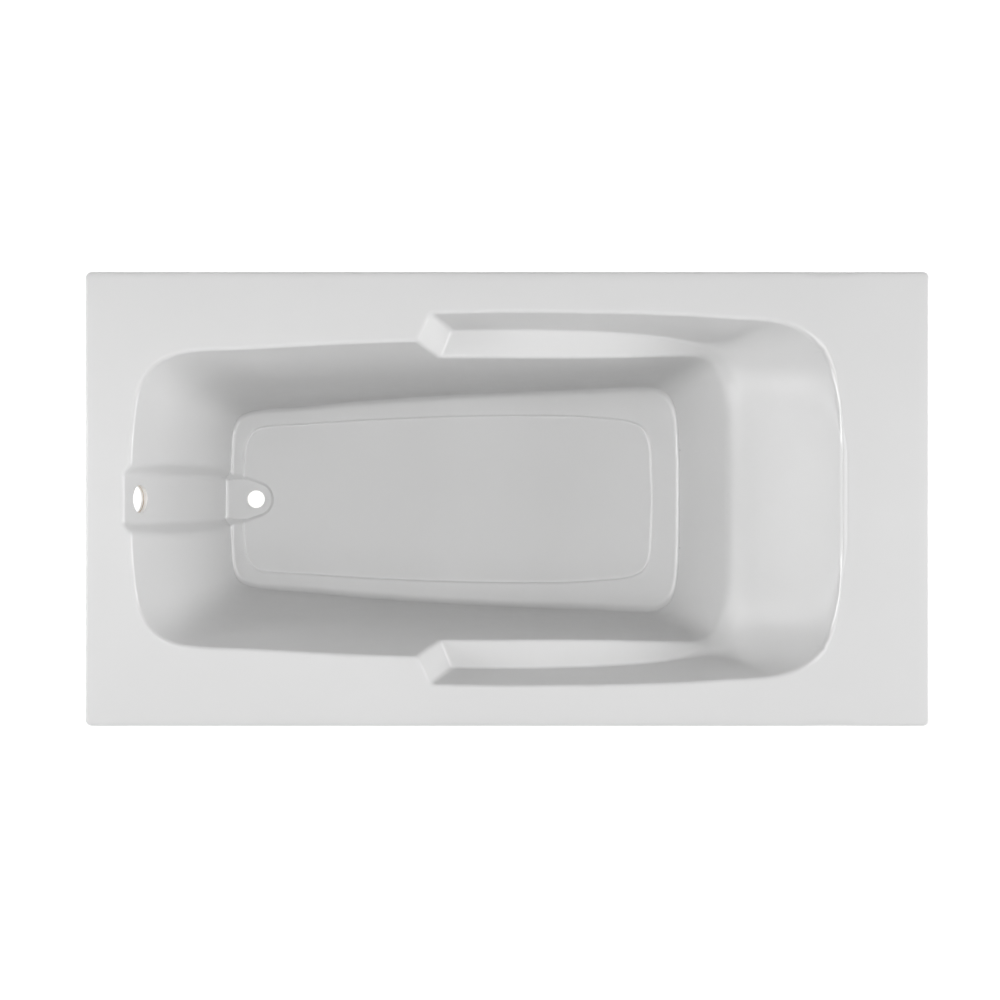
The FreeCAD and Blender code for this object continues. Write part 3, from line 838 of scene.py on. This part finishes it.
def zinc():
    m = Mat("zinc_plate")
    v = m.obj()
    n = m.noise(v, 160.0, 4.0)
    m.put("Base Color", m.ramp(n, [(0.3, (0.50, 0.52, 0.55)), (0.55, (0.64, 0.65, 0.66)), (0.75, (0.70, 0.69, 0.64))]))
    m.put("Metallic", 1.0)
    m.put("Roughness", m.span(n, 0.24, 0.42, 0.3, 0.7))
    m.put("Normal", m.bump(m.noise(v, 900.0, 2.0), 0.10, 0.0001))
    return m.m


def nylon():
    m = Mat("black_nylon")
    v = m.obj()
    m.put("Base Color", m.ramp(m.noise(v, 30.0, 3.0), [(0.3, (0.018, 0.018, 0.020)), (0.7, (0.032, 0.032, 0.034))]))
    fine = m.noise(v, 1400.0, 2.0)
    m.put("Roughness", m.span(fine, 0.40, 0.58, 0.3, 0.7))
    m.put("Normal", m.bump(fine, 0.25, 0.00015))
    return m.m


def rubber():
    m = Mat("rubber_sole")
    v = m.obj()
    dust = m.noise(v, 70.0, 4.0, 0.6)
    m.put("Base Color", m.ramp(dust, [(0.35, (0.020, 0.020, 0.020)), (0.75, (0.060, 0.058, 0.055))]))
    m.put("Roughness", m.span(dust, 0.70, 0.92, 0.3, 0.7))
    m.put("Normal", m.bump(m.noise(v, 800.0, 3.0), 0.35, 0.0002))
    return m.m


WHITE, SEAL_PAINTED_LIGHT, FIBRE, CHIP, PLY, GALV, ZINC, NYLON, RUBBER = (
    acrylic(), edge_seal_painted_light(), glass_fibre(), chipboard(), plywood(), galvanised(), zinc(), nylon(), rubber())

# ------------------------------------------------------------------ acrylic shell
r_top = rows(134, R_OUT)
P_TOP = surface(r_top, heights(r_top, (0.0,))[0])
rings = [P_TOP[:, k, :] for k in range(P_TOP.shape[1])][::-1]      # middle -> rim
for a in (15, 30, 45, 60, 75, 90):
    t = math.radians(a)
    rings.append(ring(ROLL * (1 - math.sin(t)), -ROLL * (1 - math.cos(t))))
rings += [ring(0.0, -20.0), ring(0.0, -LIP + 1.2), ring(0.35, -LIP + 0.35),
          ring(1.2, -LIP), ring(T_AC - 1.0, -LIP), ring(T_AC - 0.3, -LIP + 0.3), ring(T_AC, -LIP + 1.0),
          ring(T_AC, -22.0), ring(T_AC, -T_AC - 4.0), ring(T_AC + 1.2, -T_AC - 1.2), ring(T_AC + 4.0, -T_AC)]
r_low = rows(25, reach_box(C, D, T_AC + 8.0), 4.0)
z_low, z_inner = heights(r_low, (-T_AC, -T_AC - 0.05))
low = surface(r_low, z_low)
rings += [low[:, k, :] for k in range(low.shape[1])]
for k in (0, len(rings) - 1):
    rings[k] = rings[k].copy()
    rings[k][:, 1] = 0.0
shell = grid_mesh("bath_shell", rings, True, True)

n_strip = Vector((1.0, 0.0, STRIP_RISE)).normalized()
over_c = Vector((STRIP_X0 + STRIP_RISE * OVER_H, 0.0, Z_RIM - OVER_H))
drain_c = Vector((DRAIN_X, 0.0, Z_RIM - H_SUMP))


def hole_tools(r_add):
    return [lathe("drain_cut", [(DRAIN_R + r_add, -30.0), (DRAIN_R + r_add, -0.6), (DRAIN_R + r_add + 0.18, -0.18),
                                (DRAIN_R + r_add + 0.6, 0.02), (DRAIN_R + 9.0, 8.0)], drain_c, (0, 0, 1)),
            lathe("overflow_cut", [(OVER_R + r_add, -40.0), (OVER_R + r_add, -0.6), (OVER_R + r_add + 0.18, -0.18),
                                   (OVER_R + r_add + 0.6, 0.02), (OVER_R + 9.0, 8.0)], over_c, n_strip)]


def seal_painted_light(ob):
    """White sealing coat on the wall of the overflow and drain holes, as a second material; its pale colour is painted
    light on the shaded hole walls.
    """
    ob.data.materials.append(SEAL_PAINTED_LIGHT)
    n = len(ob.data.polygons)
    mid, nor, idx = np.empty(n * 3), np.empty(n * 3), np.zeros(n, dtype=np.int32)
    ob.data.polygons.foreach_get("center", mid)
    ob.data.polygons.foreach_get("normal", nor)
    mid, nor = mid.reshape(n, 3) / MM, nor.reshape(n, 3)
    for o, ax, r in ((drain_c, (0.0, 0.0, 1.0), DRAIN_R), (over_c, n_strip, OVER_R)):
        d, ax = mid - np.array(o), np.array(ax)
        t = d @ ax
        # hole walls get the pale seal colour: painted light over their shade
        idx[(np.abs(t) < 45.0) & (np.linalg.norm(d - t[:, None] * ax, axis=1) < r + 0.8) & (np.abs(nor @ ax) < 0.5)] = 1
    ob.data.polygons.foreach_set("material_index", idx)


cut(shell, hole_tools(0.0))
dress(shell, WHITE, "tub", "acrylic_shell")
seal_painted_light(shell)
bends(shell)

# ------------------------------------------------------------------ glass-fibre backing
inner = surface(r_low, z_inner)
rings = [inner[:, k, :] for k in range(inner.shape[1])][::-1]
edge = T_AC + 0.15
rings += [ring(edge + 0.8, -T_AC - 0.05), ring(edge, -T_AC - 0.6), ring(edge, -T_AC - T_GF + 0.9),
          ring(edge + 0.9, -T_AC - T_GF + 0.1)]
r_gf = rows(104, reach_box(C, D, edge + 3.0), 7.5)
x, y = plan(r_gf)
base = heights(r_gf, (-7.6,), True)[0]
run = np.cumsum(np.hypot(np.diff(r_gf, axis=1, prepend=r_gf[:, :1]), np.diff(base, axis=1, prepend=base[:, :1])), 1)
round_ = np.cumsum(np.hypot(*np.diff(np.vstack([C + D * R_RIM[:, None], (C + D * R_RIM[:, None])[:1]]), axis=0).T))
round_ = np.repeat(round_[:, None], r_gf.shape[1], 1)
rough = 0.55 * lumps(round_, run, 21.0, 3) + 0.30 * lumps(round_, run, 9.5, 4)
bonded = (base > -12.0) | ((base < -400.0) & (np.abs(y) < 172.0) & (x > -478.0) & (x < 343.0))
outer = np.empty(x.shape + (3,))
for part in (slice(0, HALF), slice(HALF, NU)):      # the strands differ from side to side
    q = Basin(x[part], y[part], True)
    outer[part] = np.stack([x[part], y[part], q.solve(np.where(bonded[part], -7.97, -7.35 - 0.62 * rough[part]))], -1)
rings += [outer[:, k, :] for k in range(outer.shape[1])]
for k in (0, len(rings) - 1):
    rings[k] = rings[k].copy()
    rings[k][:, 1] = 0.0
backing = grid_mesh("glass_fibre_backing", rings, True, True)
cut(backing, hole_tools(0.25))
dress(backing, FIBRE, "tub", "fibreglass_backing", 60.0)
seal_painted_light(backing)

# ------------------------------------------------------------------ board, battens, pad
Z_BOARD1, Z_BOARD0 = Z_RIM - H_BACKING, Z_RIM - H_BACKING - 16.0
board = finish_mesh("floor_board_piece", *stack(slab(-470.0, 335.0, -165.0, 165.0, Z_BOARD0, Z_BOARD1, 22.0, 0.8, 10)))
dress(board, CHIP, "tub", "floor_board")

Z_BAT1 = Z_RIM - T_AC - T_GF
Z_BAT0 = Z_BAT1 - 18.0
for node, box, along, loc in (
        ("rim_batten_front", (-748.0, 748.0, -398.0, -354.0), "X", (0.0, 0.41, -0.43)),
        ("rim_batten_rear", (-748.0, 748.0, 354.0, 398.0), "X", (0.7, -0.36, -0.55)),
        ("rim_batten_drain_end", (-752.0, -708.0, -345.0, 345.0), "Y", (0.2, -0.70, -0.45)),
        ("rim_batten_head_end", (690.0, 734.0, -345.0, 345.0), "Y", (0.5, 0.74, -0.53))):
    ob = finish_mesh(node + "_piece", *stack(slab(*box, Z_BAT0, Z_BAT1, 1.2, 1.1, 3)))
    dress(ob, pine("pine_" + node, along, loc), "tub", node)

# pad behind the overflow hole: drawn flat, then laid against the backing
pad = finish_mesh("overflow_pad_piece", *stack(slab(-42.0, 42.0, -38.0, 36.0, -2.0, 2.0, 2.5, 0.5, 5)))
up = n_strip.cross(Vector((0, 1, 0)))
if up.z < 0:
    up = -up
pad_c = (over_c - n_strip * (T_AC + 2 * T_GF - 2.0)) * MM
side = up.cross(n_strip)
pad.data.transform(Matrix(((side.x, up.x, n_strip.x, pad_c.x), (side.y, up.y, n_strip.y, pad_c.y),
                           (side.z, up.z, n_strip.z, pad_c.z), (0, 0, 0, 1))))
cut(pad, [lathe("pad_cut", [(OVER_R, -40.0), (OVER_R, 12.0)], over_c, n_strip)])
dress(pad, PLY, "tub", "overflow_backing_pad")
seal_painted_light(pad)

# ------------------------------------------------------------------ fasteners
RAIL_X = {"drain": -400.0, "head": 260.0}
FOOT_Y = {"front": -290.0, "rear": 290.0}
WEB = Z_BOARD0 - 2.5


def hex_r(af, k, seg):
    """Radius of a hexagon across flats af, at step k of seg round it."""
    a = math.degrees(2 * math.pi * k / seg) % 60.0
    return af / 2.0 / math.cos(math.radians(a))  if a <= 30.0 else af / 2.0 / math.cos(math.radians(60.0 - a))


def hex_loop(af, z, x, y, seg, slope=0.0, cap=None):
    """One loop on a hexagon; with cap, pulled to a cone that cuts its corners."""
    lp = []
    for k in range(seg):
        r = hex_r(af, k, seg)
        zz = z
        if cap is not None:
            zz = z + slope * max(r - cap, 0.0)
        a = 2 * math.pi * k / seg
        lp.append((x + r * math.cos(a), y + r * math.sin(a), zz))
    return lp


def ring_loop(r, z, x, y, seg):
    return [(x + r * math.cos(2 * math.pi * k / seg), y + r * math.sin(2 * math.pi * k / seg), z) for k in range(seg)]


def nut(x, y, z0, z1, af, bore, seg=72):
    """Chamfered hexagon nut with a countersunk bore, as one ring-shaped solid."""
    c = af / 2.0 * 0.955
    loops = [ring_loop(bore, z0 + 0.9, x, y, seg), ring_loop(bore + 0.9, z0, x, y, seg), ring_loop(c, z0, x, y, seg),
             hex_loop(af, z0 + 0.15, x, y, seg, 0.55, c), hex_loop(af, z1 - 0.15, x, y, seg, -0.55, c),
             ring_loop(c, z1, x, y, seg), ring_loop(bore + 0.9, z1, x, y, seg), ring_loop(bore, z1 - 0.9, x, y, seg)]
    n = seg
    verts = [q for lp in loops for q in lp]
    faces = []
    m = len(loops)
    for k in range(m):
        for i in range(n):
            j = (i + 1) % n
            faces.append([k * n + i, k * n + j, ((k + 1) % m) * n + j, ((k + 1) % m) * n + i])
    return verts, faces


def bead(p0, p1, r, seed):
    """Rippled weld bead from p0 to p1."""
    p0, p1 = Vector(p0), Vector(p1)
    d = (p1 - p0).normalized()
    s = d.orthogonal().normalized()
    o = d.cross(s)
    loops = []
    n = 25
    for k in range(n):
        t = k / (n - 1)
        swell = math.sqrt(max(1.0 - (2 * t - 1) ** 6, 0.03))
        rr = r * swell * (1.0 + 0.10 * math.sin(19.0 * t + seed) + 0.05 * math.sin(43.0 * t + 2 * seed))
        c = p0 + (p1 - p0) * t
        loops.append([tuple(c + (s * math.cos(2 * math.pi * i / 12) + o * math.sin(2 * math.pi * i / 12)) * rr) for i in range(12)])
    return stack(loops)


weld, lock = [], []
for ie, ex in enumerate(RAIL_X.values()):
    for ir, fy in enumerate(FOOT_Y.values()):
        weld.append(nut(ex, fy, WEB - 10.0, WEB, 19.0, 6.05))
        lock.append(nut(ex, fy, WEB - 20.0, WEB - 10.0, 19.0, 6.05))
        for sy in (-1, 1):
            weld.append(bead((ex - 4.2, fy + sy * 10.2, WEB - 0.9), (ex + 4.2, fy + sy * 10.2, WEB - 0.9), 1.5, 1.0 + ie + 2 * ir + sy))
dress(finish_mesh("weld_nuts_piece", *join(weld)), ZINC, "tub", "weld_nuts", 28.0)
dress(finish_mesh("lock_nuts_piece", *join(lock)), ZINC, "tub", "lock_nuts", 28.0)

# one pan-head screw with a cross recess, then eight of them
screw = finish_mesh("one_screw", *stack(turned(
    [(0.8, -3.0), (2.2, -2.92), (3.4, -2.6), (4.2, -2.0), (4.55, -1.2), (4.6, -0.35), (4.45, 0.0),
     (2.15, 0.0), (2.15, 12.4), (0.5, 14.8)], 0.0, 0.0, 48)))
cross = []
for along in (0, 1):
    loops = []
    for z, hl, hw in ((-4.0, 3.0, 0.62), (-3.0, 2.6, 0.55), (-1.2, 1.2, 0.42)):
        q = [(-hl, -hw), (hl, -hw), (hl, hw), (-hl, hw)]
        loops.append([(a, b, z) if not along else (-b, a, z) for a, b in q])
    cross.append(finish_mesh("recess_%d" % along, *stack(loops)))
cut(screw, cross)
v1 = [tuple(v.co / MM) for v in screw.data.vertices]
f1 = [list(q.vertices) for q in screw.data.polygons]
old = screw.data
bpy.data.objects.remove(screw)
bpy.data.meshes.remove(old)
group = []
for ie, ex in enumerate(RAIL_X.values()):
    for k, sy in enumerate((-130.0, -60.0, 60.0, 130.0)):
        a = 0.7 * (k + 1) + 1.9 * ie
        ca, sa = math.cos(a), math.sin(a)
        group.append(([(ex + px * ca - py * sa, sy + px * sa + py * ca, WEB + pz) for px, py, pz in v1], f1))
dress(finish_mesh("rail_screws_piece", *join(group)), ZINC, "tub", "rail_screws", 40.0)

# ------------------------------------------------------------------ rails keep their own shape
for node in ("rail_drain_end", "rail_head_end"):
    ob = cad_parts[node]
    for q in ob.material_slots:
        q.material = GALV

# ------------------------------------------------------------------ levelling feet
PITCH = 1.75


def stud(x, y, seg=36):
    """Threaded stud with a hexagon to turn it by, as one closed solid."""
    c = 17.0 / 2 * 0.955
    loops = [ring_loop(5.4, 9.0, x, y, seg), ring_loop(5.98, 9.6, x, y, seg), ring_loop(5.98, 20.0, x, y, seg),
             ring_loop(c, 20.0, x, y, seg), hex_loop(17.0, 20.1, x, y, seg, 0.5, c),
             hex_loop(17.0, 27.9, x, y, seg, -0.5, c), ring_loop(c, 28.0, x, y, seg), ring_loop(5.1, 28.0, x, y, seg)]
    z = 28.6
    dz = PITCH / 8
    while z < 117.9:
        lp = []
        for k in range(seg):
            ph = (z / PITCH - k / seg) % 1.0
            tri = abs(ph - 0.5) * 2.0                      # 0 at the crest, 1 at the root
            r = 5.98 - 1.0 * min(max((tri - 0.14) / 0.62, 0.0), 1.0)
            r = min(r, 4.9 + max(117.9 - z, 0.0))
            a = 2 * math.pi * k / seg
            lp.append((x + r * math.cos(a), y + r * math.sin(a), z))
        loops.append(lp)
        z += dz
    loops.append(ring_loop(4.8, 118.0, x, y, seg))
    return stack(loops)


def foot_pad(x, y):
    parts = [stack(turned(
        [(0.6, 9.0), (6.05, 9.0), (6.05, 19.5), (6.6, 20.0), (11.9, 20.0), (12.6, 19.75), (12.95, 19.2), (13.0, 18.5),
         (13.0, 15.6), (13.25, 14.5), (13.9, 13.7), (15.0, 13.1), (20.0, 11.8), (27.6, 10.1), (28.8, 9.75), (29.6, 9.1),
         (30.0, 8.1), (30.0, 3.9), (29.75, 3.3), (29.2, 3.0), (0.6, 3.0)], x, y, 96))]
    for k in range(8):
        a = math.radians(22.5 + 45.0 * k)
        ca, sa = math.cos(a), math.sin(a)
        prof = [(12.2, 11.0), (27.2, 9.4), (27.2, 10.7), (26.4, 11.2), (14.2, 16.6), (13.2, 17.9), (12.2, 18.2)]
        loops = []
        for w, grow in ((-1.25, 0.25), (-1.0, 0.0), (1.0, 0.0), (1.25, 0.25)):
            loops.append([(x + (r - 0) * ca - w * sa, y + r * sa + w * ca, zz - grow) for r, zz in prof])
        parts.append(stack(loops))
    return join(parts)


def foot_sole(x, y):
    prof = [(0.6, 3.0), (27.6, 3.0), (27.95, 2.7), (28.0, 2.2), (28.0, 0.9), (27.7, 0.25), (27.0, 0.0)]
    for r in (24.0, 20.0, 16.0, 12.0, 8.0):
        prof += [(r + 0.9, 0.0), (r + 0.65, 0.8), (r - 0.65, 0.8), (r - 0.9, 0.0)]
    prof += [(0.6, 0.0)]
    return stack(turned(prof, x, y, 96))


for end, ex in RAIL_X.items():
    for row, fy in FOOT_Y.items():
        tag = end + "_" + row
        dress(finish_mesh("stud_" + tag, *stud(ex, fy)), ZINC, "foot_" + tag, "foot_stud_" + tag, 50.0)
        dress(finish_mesh("pad_" + tag, *foot_pad(ex, fy)), NYLON, "foot_" + tag, "foot_pad_" + tag, 40.0)
        dress(finish_mesh("sole_" + tag, *foot_sole(ex, fy)), RUBBER, "foot_" + tag, "foot_sole_" + tag, 40.0)

# ------------------------------------------------------------------ stage, camera, light
sc = bpy.context.scene
sc.view_settings.view_transform = "Standard"
sc.view_settings.look = "None"
sc.view_settings.exposure = 0.0
sc.view_settings.gamma = 1.0

fm = Mat("floor_white")
fm.put("Base Color", (0.30, 0.30, 0.30, 1.0))
fm.put("Roughness", 0.9)
fm.put("Emission Color", (1.0, 1.0, 1.0, 1.0))
fm.put("Emission Strength", 0.84)
me = bpy.data.meshes.new("studio_floor")
me.from_pydata([(-14, -14, -0.0005), (14, -14, -0.0005), (14, 14, -0.0005), (-14, 14, -0.0005)], [], [(0, 1, 2, 3)])
floor = bpy.data.objects.new("studio_floor", me)
sc.collection.objects.link(floor)
me.materials.append(fm.m)


def panel_light(name, loc, target, size, power):
    li = bpy.data.lights.new(name, "AREA")
    li.shape = "RECTANGLE"
    li.size, li.size_y = size
    li.energy = power
    ob = bpy.data.objects.new(name, li)
    ob.location = loc
    ob.rotation_euler = (Vector(target) - Vector(loc)).to_track_quat("-Z", "Y").to_euler()
    ob.visible_camera = False
    sc.collection.objects.link(ob)
    return ob


AIM = (0, 0, 0.45)
for name, x, y, z, size, power in (
        ("top_soft", 0.0, 0.0, 3.6, (2.6, 2.0), 37.8),
        ("strip_front", 0.0, -0.75, 3.5, (5.0, 0.35), 6.5),
        ("strip_far_front", 0.0, -1.4, 3.2, (5.0, 0.35), 5.5),
        ("strip_rear", 0.0, 0.75, 3.5, (5.0, 0.35), 5.9)):
    panel_light(name, (x, y, z), (x, y, 0.4), size, power)
for name, ux, uy, lift, width, height, power in (
        ("drain_1", -1, 0, 12, 1.8, 0.9, 15.3), ("drain_2", -1, 0, 25, 1.8, 0.9, 32.5),
        ("drain_3", -1, 0, 38, 1.8, 0.9, 11.0), ("drain_key", -1, 0, 50, 0.7, 0.5, 4.3),
        ("drain_5", -1, 0, 66, 1.8, 0.9, 5.3), ("head_1", 1, 0, 12, 1.8, 0.9, 59.7),
        ("head_2", 1, 0, 25, 1.8, 0.9, 32.0), ("head_key", 1, 0, 50, 0.7, 0.5, 1.9),
        ("front_1", 0, -1, 12, 4.2, 0.9, 29.8), ("front_2", 0, -1, 30, 4.2, 0.9, 7.6),
        ("rear_1", 0, 1, 12, 4.2, 0.9, 11.9)):
    e = math.radians(lift)
    panel_light(name, (3.3 * ux * math.cos(e), 3.3 * uy * math.cos(e), 0.45 + 3.3 * math.sin(e)), AIM, (width, height), power)

w = bpy.data.worlds.new("studio")
sc.world = w
w.use_nodes = True
# pale backdrop behind the floor; the panels alone light the bath
wn = w.node_tree.nodes
wn["Background"].inputs[0].default_value = (1, 1, 1, 1)
wn["Background"].inputs[1].default_value = 0.0
back = wn.new("ShaderNodeBackground")
back.inputs[0].default_value = (0.90, 0.90, 0.90, 1)
pick, path = wn.new("ShaderNodeMixShader"), wn.new("ShaderNodeLightPath")
w.node_tree.links.new(path.outputs["Is Camera Ray"], pick.inputs[0])
w.node_tree.links.new(wn["Background"].outputs[0], pick.inputs[1])
w.node_tree.links.new(back.outputs[0], pick.inputs[2])
w.node_tree.links.new(pick.outputs[0], wn["World Output"].inputs["Surface"])

cam_d = bpy.data.cameras.new("camera")
cam_d.sensor_width = 36.0
cam_d.lens = 36.0 * 2000.0 / 1801.4
cam_d.dof.use_dof = False
cam_d.clip_end = 50.0
cam = bpy.data.objects.new("camera", cam_d)
cam.location = (-0.0135, -0.0018, 0.508 + 2.0)
cam.rotation_euler = (0, 0, 0)
sc.collection.objects.link(cam)
sc.camera = cam
